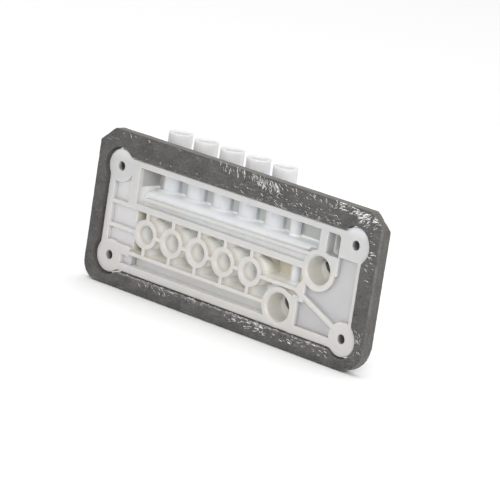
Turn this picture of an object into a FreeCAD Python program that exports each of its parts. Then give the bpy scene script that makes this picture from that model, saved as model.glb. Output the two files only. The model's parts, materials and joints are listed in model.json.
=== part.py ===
import FreeCAD, Part

import os

import Sketcher

Vector = FreeCAD.Vector

# A moulded plastic manifold: a flanged plate with four ears, a cored housing behind it with five
# small ports, two main ports, a gallery and five vertical barrels, and a foam gasket round the plate.
# The frame has its origin at the centre of the four ear holes, on the plate's front plane.
# X runs along the plate, Y goes from the front into the part and Z follows the barrels upwards.

SIZES = (
    ("ear_pitch_x", 168.3, "ear holes, along the plate"),
    ("ear_pitch_z", 49.5, "ear holes, up the plate"),
    ("ear_radius", 9.4, "round ear about each hole"),
    ("ear_hole_radius", 2.6, "clearance hole in an ear"),
    ("ear_blend", 3.0, "hollow corner between an ear and the plate's edge"),
    ("margin_left", 7.5, "plate's left edge beyond the holes"),
    ("margin_right", 5.5, "plate's right edge beyond the holes"),
    ("margin_top", 5.85, "plate's top edge above the holes"),
    ("margin_bottom", 6.5, "plate's bottom edge below the holes"),
    ("plate_cut", 5.0, "plate's corners cut back behind the ears"),
    ("plate_depth", 5.2, "thickness of the plate"),
    ("recess_depth", 2.7, "shallow cells in the plate's front"),
    ("edge_round", 0.7, "round along the plate's front edge"),
    ("side_rim", 4.5, "rim left of the shallow cells"),
    ("end_rim", 2.3, "rim right of the shallow cells"),
    ("foot_rim", 4.6, "rim below the shallow cell at the lower right"),
    ("ear_boss_radius", 5.6, "round boss behind an ear"),
    ("ear_boss_depth", 12.5, "front plane to the end of an ear's boss"),
    ("top_rim", 3.35, "wall above the cored housing"),
    ("bottom_rim", 4.4, "wall below the cored housing"),
    ("housing_depth", 17.8, "front plane to the housing's back"),
    ("back_wall", 2.0, "back wall of the housing"),
    ("side_wall", 2.5, "side walls of the housing"),
    ("housing_corner", 3.0, "round on the housing's upright corners"),
    ("housing_edge", 1.0, "round along the housing's back edge"),
    ("rib", 2.0, "thickness of the ribs"),
    ("port_count", 5, "small ports, and barrels"),
    ("port_pitch", 19.05, "small port to small port"),
    ("port_row_x", -59.95, "axis of the first small port"),
    ("port_row_z", -7.3, "axes of the small ports"),
    ("port_bore", 4.79, "radius of a small port's bore"),
    ("port_tube", 8.05, "outer radius of a small port's tube"),
    ("port_gap", 1.85, "first port's tube to the housing's left wall"),
    ("port_mouth", 1.0, "bevel at a port's mouth"),
    ("elbow_overlap", 1.2, "a small port's bore and its barrel's bore run past each other's axes"),
    ("main_bore", 7.6, "radius of a main port's bore"),
    ("main_tube", 10.9, "outer radius of a main port's tube"),
    ("main_bore_depth", 11.5, "depth of a main port's bore"),
    ("main_tube_depth", 19.8, "front plane to the end of a main port's tube"),
    ("seat_bore", 5.2, "radius of the seat pocket at a main bore's end"),
    ("seat_rise", 2.6, "seat pocket above the main port's axis"),
    ("seat_depth", 6.6, "depth of the seat pocket"),
    ("upper_port_x", 45.85, "last small port to the upper main port"),
    ("upper_port_z", 5.6, "axis of the upper main port"),
    ("lower_port_x", 22.65, "last small port to the lower main port"),
    ("lower_port_z", -20.35, "axis of the lower main port"),
    ("gallery_y", 9.5, "axis of the gallery behind the front plane"),
    ("gallery_z", 8.65, "axis of the gallery"),
    ("gallery_radius", 7.0, "outer radius of the gallery"),
    ("gallery_bore", 3.8, "radius of the gallery's passage"),
    ("gallery_end", 9.1, "end of the passage left of the upper port's axis"),
    ("link_bore", 2.2, "radius of the link from the passage to the upper port's seat"),
    ("link_back", 2.4, "axis of that link behind the main bore's end"),
    ("link_length", 10.6, "length of that link from the upper port's axis"),
    ("gallery_nose", 5.7, "gallery's rounded end from the housing's left wall"),
    ("front_rib_z", 5.15, "middle of the rib below the gallery's front"),
    ("front_rib", 3.4, "thickness of that rib inside the housing"),
    ("foot_bar", 5.2, "thickness of the bar above the lower left ear"),
    ("crown_rib_left", 11.2, "middle of the rib above the gallery, left end"),
    ("crown_rib_right", 12.9, "middle of the rib above the gallery, right end"),
    ("crown_rib", 1.7, "thickness of the rib above the gallery"),
    ("port_rib_drop", 0.55, "rib through the small ports, below their axes"),
    ("channel_rib_z", -20.1, "middle of the rib above the long channel"),
    ("channel_depth", 6.8, "depth of the long channel"),
    ("upright_rib", 5.0, "thickness of the upright rib over the upper port"),
    ("upright_offset", 0.6, "upright rib's middle right of the upper port's axis"),
    ("cell_right", 11.9, "right wall of the cell beside the upright rib, from the upper port's axis"),
    ("cell_floor", 9.65, "floor of that cell above the upper port's axis"),
    ("cell_corner", 2.0, "round in that cell's upper corner"),
    ("post_width", 6.0, "flat post beside the upper left ear"),
    ("pocket_end", 9.35, "end wall of the pocket beside the upper port, from its axis"),
    ("pocket_corner", 3.2, "slanted corner of that pocket, along the plate"),
    ("pocket_rise", 5.3, "slanted corner of that pocket, up the plate"),
    ("crescent_depth", 4.0, "depth of the crescent groove over the lower port"),
    ("crescent_start", 11.2, "foot of the crescent above the lower port's axis, at its start"),
    ("crescent_floor", 7.65, "foot of the crescent above the lower port's axis, at its end"),
    ("crescent_end", 11.6, "end of the crescent's foot, from the lower port's axis"),
    ("crescent_lip", 1.45, "slanted end of the crescent"),
    ("crescent_shoulder", 9.4, "start of the crescent's slanted top, from the lower port's axis"),
    ("port_post", 3.5, "thickness of the post below the lower port's right side"),
    ("barrel_y", 16.75, "barrels' axes behind the front plane"),
    ("barrel_radius", 6.67, "outer radius of a barrel"),
    ("barrel_bore", 4.6, "radius of a barrel's bore"),
    ("barrel_top", 48.25, "open ends of the barrels"),
    ("barrel_foot", 2.4, "round where a barrel stands on the gallery"),
    ("barrel_mouth", 0.5, "bevel inside a barrel's open end"),
    ("riser_y", 11.0, "axis of the riser behind the front plane"),
    ("riser_radius", 2.4, "outer radius of the riser between lower port and gallery"),
    ("riser_bore", 1.3, "radius of the riser's passage"),
    ("boss_x", 15.9, "blind boss from the last small port"),
    ("boss_y", 13.4, "axis of the blind boss behind the front plane"),
    ("boss_radius", 3.2, "radius of the blind boss"),
    ("brace_start_x", 8.9, "start of the slanting brace left of the upper port's axis"),
    ("brace_start_z", 16.4, "lower edge of the brace's start below the upper port's axis"),
    ("brace_height", 2.6, "upright thickness of the slanting brace"),
    ("foam_proud", 2.0, "gasket in front of the plate"),
    ("foam_depth", 7.0, "thickness of the gasket"),
    ("foam_gap", 0.5, "gasket clear of the plate's edge"),
    ("foam_left", 9.0, "gasket's width on the left"),
    ("foam_right", 12.2, "gasket's width on the right"),
    ("foam_top", 14.15, "gasket's width along the top"),
    ("foam_bottom", 9.6, "gasket's width along the bottom"),
    ("foam_cut_left_x", 9.8, "cut corner at the upper left, along the plate"),
    ("foam_cut_left_z", 8.4, "cut corner at the upper left, up the plate"),
    ("foam_cut_right_x", 9.8, "cut corner at the upper right, along the plate"),
    ("foam_cut_right_z", 8.4, "cut corner at the upper right, up the plate"),
    ("foam_corner_left", 10.5, "round corner at the lower left"),
    ("foam_corner_right", 16.5, "round corner at the lower right"),
)

# Places that several features share, as expressions of the sizes above.
EAR_X = "(Sizes.ear_pitch_x / 2)"
EAR_Z = "(Sizes.ear_pitch_z / 2)"
PLATE_LEFT = f"(-{EAR_X} - Sizes.margin_left)"
PLATE_RIGHT = f"({EAR_X} + Sizes.margin_right)"
PLATE_TOP = f"({EAR_Z} + Sizes.margin_top)"
PLATE_BOTTOM = f"(-{EAR_Z} - Sizes.margin_bottom)"
ROW_LENGTH = "((Sizes.port_count - 1) * Sizes.port_pitch)"
LAST_PORT_X = f"(Sizes.port_row_x + {ROW_LENGTH})"
UPPER_X = f"({LAST_PORT_X} + Sizes.upper_port_x)"
LOWER_X = f"({LAST_PORT_X} + Sizes.lower_port_x)"
CORE_DEPTH = "(Sizes.housing_depth - Sizes.back_wall)"
CORE_LEFT = "(Sizes.port_row_x - Sizes.port_tube - Sizes.port_gap)"
CORE_RIGHT = f"({UPPER_X} + Sizes.cell_right)"
CORE_TOP = f"({PLATE_TOP} - Sizes.top_rim)"
CORE_BOTTOM = f"({PLATE_BOTTOM} + Sizes.bottom_rim)"
POCKET_END = f"({UPPER_X} - Sizes.pocket_end)"
CELL_FLOOR = "(Sizes.upper_port_z + Sizes.cell_floor)"
PORT_RIB_Z = "(Sizes.port_row_z - Sizes.port_rib_drop)"
GALLERY_TOP = "(Sizes.gallery_z + Sizes.gallery_radius)"
NOSE_X = f"({CORE_LEFT} + Sizes.gallery_nose)"
UPRIGHT_X = f"({UPPER_X} + Sizes.upright_offset)"
EAR_CENTRES = ((f"-{EAR_X}", EAR_Z), (f"-{EAR_X}", f"-{EAR_Z}"), (EAR_X, EAR_Z), (EAR_X, f"-{EAR_Z}"))

TOLERANCE = 1e-4

doc = FreeCAD.newDocument("manifold")
sheet = doc.addObject("Spreadsheet::Sheet", "Sizes")
for row, (alias, value, meaning) in enumerate(SIZES, start=1):
    sheet.set(f"A{row}", meaning)
    sheet.set(f"B{row}", str(value))
    sheet.setAlias(f"B{row}", alias)
doc.recompute()


def number(expression):
    """The present value of an expression of the sheet's sizes, in millimetres."""
    return float(sheet.evalExpression(str(expression)))


# Sketches and the features made from them.


def new_sketch(body, name, role, offset):
    """A sketch parallel to one of the body's origin planes, at an offset along its normal."""
    plane = next(item for item in body.Origin.OriginFeatures if item.Role == role)
    sketch = body.newObject("Sketcher::SketchObject", name)
    sketch.AttachmentSupport = [(plane, "")]
    sketch.MapMode = "FlatFace"
    sketch.setExpression(".AttachmentOffset.Base.z", offset)
    return sketch


def front_sketch(body, name, depth="0"):
    """A sketch seen from the front, at a depth behind the front plane. Its normal is -Y."""
    return new_sketch(body, name, "XZ_Plane", f"-({depth})")


def top_sketch(body, name, height):
    """A sketch seen from above, at a height. Its normal is +Z."""
    return new_sketch(body, name, "XY_Plane", height)


def side_sketch(body, name, station):
    """A sketch seen along X, at a station along the plate. Its normal is +X."""
    return new_sketch(body, name, "YZ_Plane", station)


def fix_point(sketch, geometry, end, across, up):
    """Ties one point of the sketch to expressions measured from the origin. None leaves it free."""
    for kind, expression in (("DistanceX", across), ("DistanceY", up)):
        if expression is None:
            continue
        constraint = Sketcher.Constraint(kind, -1, 1, geometry, end, number(expression))
        index = sketch.addConstraint(constraint)
        sketch.setExpression(f"Constraints[{index}]", expression)


def circle(sketch, across, up, radius):
    """Draws a circle whose centre and radius follow the sheet."""
    centre = Vector(number(across), number(up), 0)
    shape = Part.Circle(centre, Vector(0, 0, 1), number(radius))
    geometry = sketch.addGeometry(shape)
    fix_point(sketch, geometry, 3, across, up)
    index = sketch.addConstraint(Sketcher.Constraint("Radius", geometry, number(radius)))
    sketch.setExpression(f"Constraints[{index}]", radius)


def outline(sketch, corners):
    """Draws a closed outline of straight lines through corners that follow the sheet."""
    points = [Vector(number(across), number(up), 0) for across, up in corners]
    ends = points[1:] + points[:1]
    lines = [sketch.addGeometry(Part.LineSegment(a, b)) for a, b in zip(points, ends)]
    for line, after in zip(lines, lines[1:] + lines[:1]):
        sketch.addConstraint(Sketcher.Constraint("Coincident", line, 2, after, 1))
    for line, (across, up) in zip(lines, corners):
        fix_point(sketch, line, 1, across, up)
    return lines


def rectangle(sketch, left, right, low, high):
    """Draws a rectangle between two pairs of expressions."""
    return outline(sketch, ((left, low), (right, low), (right, high), (left, high)))


def pad(body, name, sketch, length, backwards=False):
    """Adds a sketch's outline to the body, along its normal or against it."""
    feature = body.newObject("PartDesign::Pad", name)
    feature.Profile = sketch
    feature.Reversed = backwards
    feature.Refine = False
    feature.setExpression("Length", length)
    return feature


def pocket(body, name, sketch, length):
    """Cuts a sketch's outline out of the body, against its normal."""
    feature = body.newObject("PartDesign::Pocket", name)
    feature.Profile = sketch
    feature.Refine = False
    feature.setExpression("Length", length)
    return feature


def repeat_along_ports(body, name, feature):
    """Repeats a feature at each small port."""
    pattern = body.newObject("PartDesign::LinearPattern", name)
    pattern.Originals = [feature]
    pattern.Refine = False
    axis = next(item for item in body.Origin.OriginFeatures if item.Role == "X_Axis")
    pattern.Direction = (axis, [""])
    pattern.setExpression("Length", ROW_LENGTH)
    pattern.setExpression("Occurrences", "Sizes.port_count")
    body.Tip = pattern
    return pattern


def rib(body, name, sides, front, back):
    """Adds an upright or level rib between two depths. sides are left, right, low and high."""
    sketch = front_sketch(body, f"{name}_outline", front)
    rectangle(sketch, *sides)
    return pad(body, name, sketch, f"{back} - {front}", backwards=True)


def level_sides(left, right, middle):
    """The sides of a level rib of the common thickness."""
    return left, right, f"{middle} - Sizes.rib / 2", f"{middle} + Sizes.rib / 2"


def edges_where(feature, wanted):
    """The names of the feature's edges that a test accepts."""
    doc.recompute()
    names = []
    for index, edge in enumerate(feature.Shape.Edges, start=1):
        if wanted(edge):
            names.append(f"Edge{index}")
    if not names:
        raise RuntimeError(f"{feature.Name}: no edge was found")
    return names


def dress(body, kind, name, feature, wanted, size_name, size):
    """Rounds or bevels the edges of a feature that a test accepts."""
    dressing = body.newObject(f"PartDesign::{kind}", name)
    dressing.Base = (feature, edges_where(feature, wanted))
    dressing.setExpression(size_name, size)
    return dressing


def runs_along_y(edge):
    """Whether an edge is straight and runs from front to back."""
    if not isinstance(edge.Curve, (Part.Line, Part.LineSegment)):
        return False
    return abs(abs(edge.tangentAt(edge.FirstParameter).y) - 1) < TOLERANCE


def is_ring(edge, radius):
    """Whether an edge is a circle, or an arc of one, of a radius."""
    return isinstance(edge.Curve, Part.Circle) and near(edge.Curve.Radius, radius)


def near(value, target):
    """Whether two lengths agree."""
    return abs(value - target) < TOLERANCE * 10


def place_of(edge):
    """The middle of an edge."""
    return edge.valueAt((edge.FirstParameter + edge.LastParameter) / 2)


def plate_corners(gap):
    """The plate's outline without its ears, grown by a gap. The corners are cut back."""
    left, right = f"({PLATE_LEFT} - {gap})", f"({PLATE_RIGHT} + {gap})"
    low, high = f"({PLATE_BOTTOM} - {gap})", f"({PLATE_TOP} + {gap})"
    return (
        (left, f"{low} + Sizes.plate_cut"),
        (f"{left} + Sizes.plate_cut", low),
        (f"{right} - Sizes.plate_cut", low),
        (right, f"{low} + Sizes.plate_cut"),
        (right, f"{high} - Sizes.plate_cut"),
        (f"{right} - Sizes.plate_cut", high),
        (f"{left} + Sizes.plate_cut", high),
        (left, f"{high} - Sizes.plate_cut"),
    )


def distance_to_ear(point):
    """How far a point lies from the nearest ear's axis, seen from the front."""
    return min(
        ((point.x - number(across)) ** 2 + (point.z - number(up)) ** 2) ** 0.5 for across, up in EAR_CENTRES
    )


def hollow_corner(gap):
    """A test for the edges where an ear meets the plate's outline, both grown by a gap."""
    sides = [number(f"{PLATE_LEFT} - {gap}"), number(f"{PLATE_RIGHT} + {gap}")]
    levels = [number(f"{PLATE_BOTTOM} - {gap}"), number(f"{PLATE_TOP} + {gap}")]
    reach = number(f"Sizes.ear_radius + {gap}")

    def wanted(edge):
        if not runs_along_y(edge):
            return False
        place = place_of(edge)
        on_side = any(near(place.x, side) for side in sides)
        on_level = any(near(place.z, level) for level in levels)
        return (on_side or on_level) and near(distance_to_ear(place), reach)

    return wanted


# The moulded body.

body = doc.addObject("PartDesign::Body", "manifold_body")
body.Label = "manifold_body"


def make_plate():
    """The plate with its four ears, blended into its edges."""
    sketch = front_sketch(body, "plate_outline")
    outline(sketch, plate_corners("0"))
    pad(body, "plate", sketch, "Sizes.plate_depth", backwards=True)
    ears = front_sketch(body, "ear_outlines")
    for across, up in EAR_CENTRES:
        circle(ears, across, up, "Sizes.ear_radius")
    eared = pad(body, "ears", ears, "Sizes.plate_depth", backwards=True)
    eared.Refine = True

    wanted = hollow_corner("0")
    return dress(body, "Fillet", "ear_blends", eared, wanted, "Radius", "Sizes.ear_blend")


def make_front_edge(plate):
    """The small round along the plate's front edge."""

    def front_edge(edge):
        return near(edge.BoundBox.YMin, 0) and near(edge.BoundBox.YMax, 0)

    return dress(body, "Fillet", "front_round", plate, front_edge, "Radius", "Sizes.edge_round")


def housing_corners(wall):
    """The housing's outline from the front, grown by a wall. It steps in beside the two main ports."""
    return (
        (f"{CORE_LEFT} - {wall}", PLATE_BOTTOM),
        (LOWER_X, PLATE_BOTTOM),
        (LOWER_X, f"{PORT_RIB_Z} - {wall}"),
        (POCKET_END, f"{PORT_RIB_Z} - {wall}"),
        (f"{POCKET_END} + {wall}", f"{PORT_RIB_Z} + Sizes.pocket_rise"),
        (f"{POCKET_END} + {wall}", "Sizes.upper_port_z"),
        (UPPER_X, "Sizes.upper_port_z"),
        (UPPER_X, f"{CELL_FLOOR} - {wall}"),
        (f"{CORE_RIGHT} + {wall}", f"{CELL_FLOOR} - {wall}"),
        (f"{CORE_RIGHT} + {wall}", PLATE_TOP),
        (f"{CORE_LEFT} - {wall}", PLATE_TOP),
    )


def core_corners():
    """The outline of the cored inside of the housing."""
    return (
        (CORE_LEFT, CORE_BOTTOM),
        (LOWER_X, CORE_BOTTOM),
        (LOWER_X, PORT_RIB_Z),
        (f"{POCKET_END} - Sizes.pocket_corner", f"{PORT_RIB_Z} + Sizes.rib / 2"),
        (POCKET_END, f"{PORT_RIB_Z} + Sizes.rib / 2 + Sizes.pocket_rise"),
        (POCKET_END, "Sizes.upper_port_z"),
        (UPPER_X, "Sizes.upper_port_z"),
        (UPPER_X, CELL_FLOOR),
        (CORE_RIGHT, CELL_FLOOR),
        (CORE_RIGHT, CORE_TOP),
        (CORE_LEFT, CORE_TOP),
    )


def make_housing():
    """The deep housing behind the plate, rounded at its upright corners and along its back edge."""
    block = doc.addObject("PartDesign::Body", "housing_block")
    sketch = front_sketch(block, "housing_outline", "Sizes.plate_depth / 2")
    outline(sketch, housing_corners("Sizes.side_wall"))
    depth = "Sizes.housing_depth - Sizes.plate_depth / 2"
    solid = pad(block, "housing_solid", sketch, depth, backwards=True)
    left = number(f"{CORE_LEFT} - Sizes.side_wall")
    right = number(f"{CORE_RIGHT} + Sizes.side_wall")

    def upright_corner(edge):
        place = place_of(edge)
        return runs_along_y(edge) and (near(place.x, left) or near(place.x, right))

    rounded = dress(block, "Fillet", "housing_corners", solid, upright_corner, "Radius", "Sizes.housing_corner")
    back = number("Sizes.housing_depth")

    def back_edge(edge):
        return near(edge.BoundBox.YMin, back) and near(edge.BoundBox.YMax, back)

    dress(block, "Fillet", "housing_back_round", rounded, back_edge, "Radius", "Sizes.housing_edge")
    doc.recompute()
    join = body.newObject("PartDesign::Boolean", "housing")
    join.Type = "Fuse"
    join.Refine = False
    join.setObjects([block])
    body.Tip = join


def make_cores():
    """The deep core in the housing, the crescent groove and the shallow cells in the plate."""
    sketch = front_sketch(body, "core_outline")
    outline(sketch, core_corners())
    core = pocket(body, "housing_core", sketch, CORE_DEPTH)
    right_x = number(CORE_RIGHT)
    top_z = number(CORE_TOP)

    def upper_corner(edge):
        place = place_of(edge)
        return runs_along_y(edge) and near(place.x, right_x) and near(place.z, top_z)

    dress(body, "Fillet", "cell_corner_round", core, upper_corner, "Radius", "Sizes.cell_corner")
    crescent = front_sketch(body, "crescent_outline")
    end_x = f"{LOWER_X} + Sizes.crescent_end"
    end_z = "Sizes.lower_port_z + Sizes.crescent_floor"
    outline(crescent, (
        (LOWER_X, PORT_RIB_Z),
        (LOWER_X, "Sizes.lower_port_z + Sizes.crescent_start"),
        (end_x, end_z),
        (f"{end_x} + Sizes.crescent_lip", f"{end_z} + Sizes.crescent_lip"),
        (f"{LOWER_X} + Sizes.crescent_shoulder", PORT_RIB_Z),
    ))
    pocket(body, "crescent", crescent, "Sizes.crescent_depth")
    left = front_sketch(body, "left_cells_outline")
    rectangle(left, f"{PLATE_LEFT} + Sizes.side_rim", CORE_LEFT, CORE_BOTTOM, CORE_TOP)
    pocket(body, "left_cells", left, "Sizes.recess_depth")
    right = front_sketch(body, "right_cells_outline")
    wall_x = f"{POCKET_END} + Sizes.side_wall"
    outer_x = f"{CORE_RIGHT} + Sizes.rib / 4"
    foot_x = f"{LOWER_X} + Sizes.main_tube"
    outline(right, (
        (foot_x, f"{PLATE_BOTTOM} + Sizes.foot_rim"),
        (f"{PLATE_RIGHT} - Sizes.end_rim", f"{PLATE_BOTTOM} + Sizes.foot_rim"),
        (f"{PLATE_RIGHT} - Sizes.end_rim", f"{GALLERY_TOP} + Sizes.rib / 4"),
        (outer_x, f"{GALLERY_TOP} + Sizes.rib / 4"),
        (outer_x, "Sizes.upper_port_z"),
        (wall_x, "Sizes.upper_port_z"),
        (wall_x, f"Sizes.upper_port_z - Sizes.brace_start_z - Sizes.brace_height"),
        (foot_x, f"Sizes.upper_port_z - Sizes.brace_start_z - Sizes.brace_height"),
    ))
    pocket(body, "right_cells", right, "Sizes.recess_depth")


def make_plate_ribs():
    """The ear pads and bosses, and the ribs that stand in the shallow cells."""
    pads = front_sketch(body, "ear_pad_outlines")
    bosses = front_sketch(body, "ear_boss_outlines", "Sizes.plate_depth / 2")
    for across, up in EAR_CENTRES:
        circle(pads, across, up, "Sizes.ear_radius - Sizes.edge_round")
        circle(bosses, across, up, "Sizes.ear_boss_radius")
    pad(body, "ear_pads", pads, "Sizes.plate_depth", backwards=True)
    pad(body, "ear_bosses", bosses, "Sizes.ear_boss_depth - Sizes.plate_depth / 2", backwards=True)
    cell_left = f"{PLATE_LEFT} + Sizes.side_rim"
    depth = "Sizes.plate_depth"
    rib(body, "upper_cell_rib", level_sides(cell_left, CORE_LEFT, "Sizes.front_rib_z"), "0", depth)
    rib(body, "middle_cell_rib", level_sides(cell_left, CORE_LEFT, PORT_RIB_Z), "0", depth)
    bar_low = "Sizes.channel_rib_z - Sizes.rib"
    bar = (f"-{EAR_X}", CORE_LEFT, bar_low, f"{bar_low} + Sizes.foot_bar")
    rib(body, "lower_cell_rib", bar, "0", depth)
    post = (f"{CORE_LEFT} - Sizes.post_width", CORE_LEFT, "Sizes.front_rib_z", CORE_TOP)
    rib(body, "ear_post", post, "0", depth)
    shoulder = (CORE_RIGHT, EAR_X, f"{GALLERY_TOP} + Sizes.rib / 4", CORE_TOP)
    rib(body, "ear_shoulder", shoulder, "0", depth)
    foot_x = f"{LOWER_X} + Sizes.main_tube"
    foot = (f"{foot_x} - Sizes.port_post / 2", f"{foot_x} + Sizes.port_post / 2")
    brace_low = "Sizes.upper_port_z - Sizes.brace_start_z"
    rib(body, "lower_port_post", (*foot, PLATE_BOTTOM, brace_low), "0", depth)
    brace = front_sketch(body, "brace_outline")
    start_x = f"{UPPER_X} - Sizes.brace_start_x"
    start_z = "Sizes.upper_port_z - Sizes.brace_start_z"
    outline(brace, (
        (start_x, start_z),
        (EAR_X, f"-{EAR_Z}"),
        (EAR_X, f"-{EAR_Z} + Sizes.brace_height"),
        (start_x, f"{start_z} + Sizes.brace_height"),
    ))
    pad(body, "brace", brace, depth, backwards=True)


def make_port_tubes():
    """The tubes round the small ports and the main ports."""
    sketch = front_sketch(body, "port_tube_outline")
    circle(sketch, "Sizes.port_row_x", "Sizes.port_row_z", "Sizes.port_tube")
    tube = pad(body, "port_tube", sketch, "Sizes.housing_depth - Sizes.back_wall / 2", backwards=True)
    repeat_along_ports(body, "port_tubes", tube)
    mains = front_sketch(body, "main_tube_outlines")
    circle(mains, UPPER_X, "Sizes.upper_port_z", "Sizes.main_tube")
    circle(mains, LOWER_X, "Sizes.lower_port_z", "Sizes.main_tube")
    pad(body, "main_tubes", mains, "Sizes.main_tube_depth", backwards=True)


def make_gallery():
    """The round gallery with its rounded left end, and the block that backs it."""
    sketch = top_sketch(body, "gallery_profile", "Sizes.gallery_z")
    front_y = "Sizes.gallery_y - Sizes.gallery_radius"
    tip = (f"{NOSE_X} - Sizes.gallery_radius", "Sizes.gallery_y")
    axis_line = sketch.addGeometry(Part.LineSegment(
        Vector(number(tip[0]), number(tip[1]), 0), Vector(number(UPPER_X), number(tip[1]), 0)))
    end_line = sketch.addGeometry(Part.LineSegment(
        Vector(number(UPPER_X), number(tip[1]), 0), Vector(number(UPPER_X), number(front_y), 0)))
    front_line = sketch.addGeometry(Part.LineSegment(
        Vector(number(UPPER_X), number(front_y), 0), Vector(number(NOSE_X), number(front_y), 0)))
    half_turn = FreeCAD.Units.parseQuantity("180 deg").getValueAs("rad").Value
    nose = sketch.addGeometry(Part.ArcOfCircle(
        Part.Circle(Vector(number(NOSE_X), number(tip[1]), 0), Vector(0, 0, 1), number("Sizes.gallery_radius")),
        half_turn, half_turn * 1.5))
    fix_point(sketch, axis_line, 1, *tip)
    fix_point(sketch, axis_line, 2, UPPER_X, "Sizes.gallery_y")
    fix_point(sketch, front_line, 1, UPPER_X, front_y)
    fix_point(sketch, front_line, 2, NOSE_X, None)
    fix_point(sketch, nose, 3, NOSE_X, "Sizes.gallery_y")
    sketch.addConstraint(Sketcher.Constraint("Coincident", axis_line, 2, end_line, 1))
    sketch.addConstraint(Sketcher.Constraint("Coincident", end_line, 2, front_line, 1))
    sketch.addConstraint(Sketcher.Constraint("Coincident", front_line, 2, nose, 2))
    sketch.addConstraint(Sketcher.Constraint("Coincident", nose, 1, axis_line, 1))
    gallery = body.newObject("PartDesign::Revolution", "gallery")
    gallery.Profile = sketch
    gallery.ReferenceAxis = (sketch, [f"Edge{axis_line + 1}"])
    gallery.Angle = 360
    gallery.Refine = False
    sides = (NOSE_X, UPPER_X, "Sizes.gallery_z - Sizes.gallery_radius", GALLERY_TOP)
    rib(body, "gallery_backing", sides, "Sizes.gallery_y", CORE_DEPTH)
    end = front_sketch(body, "gallery_end_outline", "Sizes.gallery_y")
    circle(end, NOSE_X, "Sizes.gallery_z", "Sizes.gallery_radius")
    pad(body, "gallery_end", end, f"{CORE_DEPTH} - Sizes.gallery_y", backwards=True)


def make_housing_ribs():
    """The ribs and webs that divide the cored housing."""
    front_low = "Sizes.front_rib_z - Sizes.rib / 2"
    front_sides = (CORE_LEFT, UPPER_X, front_low, f"{front_low} + Sizes.front_rib")
    rib(body, "front_rib", front_sides, "0", "Sizes.gallery_y")
    crown = front_sketch(body, "crown_rib_outline")
    outline(crown, (
        (NOSE_X, "Sizes.crown_rib_left - Sizes.crown_rib / 2"),
        (UPPER_X, "Sizes.crown_rib_right - Sizes.crown_rib / 2"),
        (UPPER_X, "Sizes.crown_rib_right + Sizes.crown_rib / 2"),
        (NOSE_X, "Sizes.crown_rib_left + Sizes.crown_rib / 2"),
    ))
    pad(body, "crown_rib", crown, "Sizes.gallery_y", backwards=True)
    rib(body, "port_rib", level_sides(CORE_LEFT, f"{POCKET_END} + Sizes.rib", PORT_RIB_Z), "0", CORE_DEPTH)
    rib(body, "channel_rib", level_sides(CORE_LEFT, LOWER_X, "Sizes.channel_rib_z"), "0", CORE_DEPTH)
    floor = (CORE_LEFT, LOWER_X, CORE_BOTTOM, "Sizes.channel_rib_z")
    rib(body, "channel_floor", floor, "Sizes.channel_depth", CORE_DEPTH)
    upright = (f"{UPRIGHT_X} - Sizes.upright_rib / 2", f"{UPRIGHT_X} + Sizes.upright_rib / 2")
    rib(body, "upright_rib", (*upright, "Sizes.upper_port_z", CORE_TOP), "0", CORE_DEPTH)
    web_sides = ("Sizes.port_row_x - Sizes.rib / 2", "Sizes.port_row_x + Sizes.rib / 2")
    web = rib(body, "port_web", (*web_sides, "Sizes.channel_rib_z", "Sizes.front_rib_z"), "0", CORE_DEPTH)
    repeat_along_ports(body, "port_webs", web)


def make_uprights():
    """The riser from the lower port to the gallery and the blind boss beside the last barrel."""
    riser = top_sketch(body, "riser_outline", "Sizes.lower_port_z")
    circle(riser, LOWER_X, "Sizes.riser_y", "Sizes.riser_radius")
    pad(body, "riser", riser, "Sizes.gallery_z - Sizes.lower_port_z")
    boss = top_sketch(body, "boss_outline", "Sizes.gallery_z")
    circle(boss, f"{LAST_PORT_X} + Sizes.boss_x", "Sizes.boss_y", "Sizes.boss_radius")
    pad(body, "blind_boss", boss, f"{CORE_TOP} - Sizes.gallery_z")


def make_barrels():
    """The five barrels: closed round behind the small ports, open above the housing."""
    sketch = front_sketch(body, "barrel_profile", "Sizes.barrel_y")
    bottom = "Sizes.port_row_z - Sizes.barrel_radius"
    edge_x = "Sizes.port_row_x + Sizes.barrel_radius"
    low = Vector(number("Sizes.port_row_x"), number(bottom), 0)
    high = Vector(low.x, number("Sizes.barrel_top"), 0)
    rim = Vector(number(edge_x), high.y, 0)
    side = Vector(rim.x, number("Sizes.port_row_z"), 0)
    axis_line = sketch.addGeometry(Part.LineSegment(low, high))
    top_line = sketch.addGeometry(Part.LineSegment(high, rim))
    side_line = sketch.addGeometry(Part.LineSegment(rim, side))
    quarter_turn = FreeCAD.Units.parseQuantity("90 deg").getValueAs("rad").Value
    end = sketch.addGeometry(Part.ArcOfCircle(
        Part.Circle(Vector(low.x, side.y, 0), Vector(0, 0, 1), number("Sizes.barrel_radius")),
        quarter_turn * 3, quarter_turn * 4))
    fix_point(sketch, axis_line, 1, "Sizes.port_row_x", bottom)
    fix_point(sketch, axis_line, 2, "Sizes.port_row_x", "Sizes.barrel_top")
    fix_point(sketch, side_line, 1, edge_x, "Sizes.barrel_top")
    fix_point(sketch, side_line, 2, None, "Sizes.port_row_z")
    fix_point(sketch, end, 3, "Sizes.port_row_x", "Sizes.port_row_z")
    sketch.addConstraint(Sketcher.Constraint("Coincident", axis_line, 2, top_line, 1))
    sketch.addConstraint(Sketcher.Constraint("Coincident", top_line, 2, side_line, 1))
    sketch.addConstraint(Sketcher.Constraint("Coincident", side_line, 2, end, 2))
    sketch.addConstraint(Sketcher.Constraint("Coincident", end, 1, axis_line, 1))
    barrel = body.newObject("PartDesign::Revolution", "barrel")
    barrel.Profile = sketch
    barrel.ReferenceAxis = (sketch, [f"Edge{axis_line + 1}"])
    barrel.Angle = 360
    barrel.Refine = False
    repeat_along_ports(body, "barrels", barrel)


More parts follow.
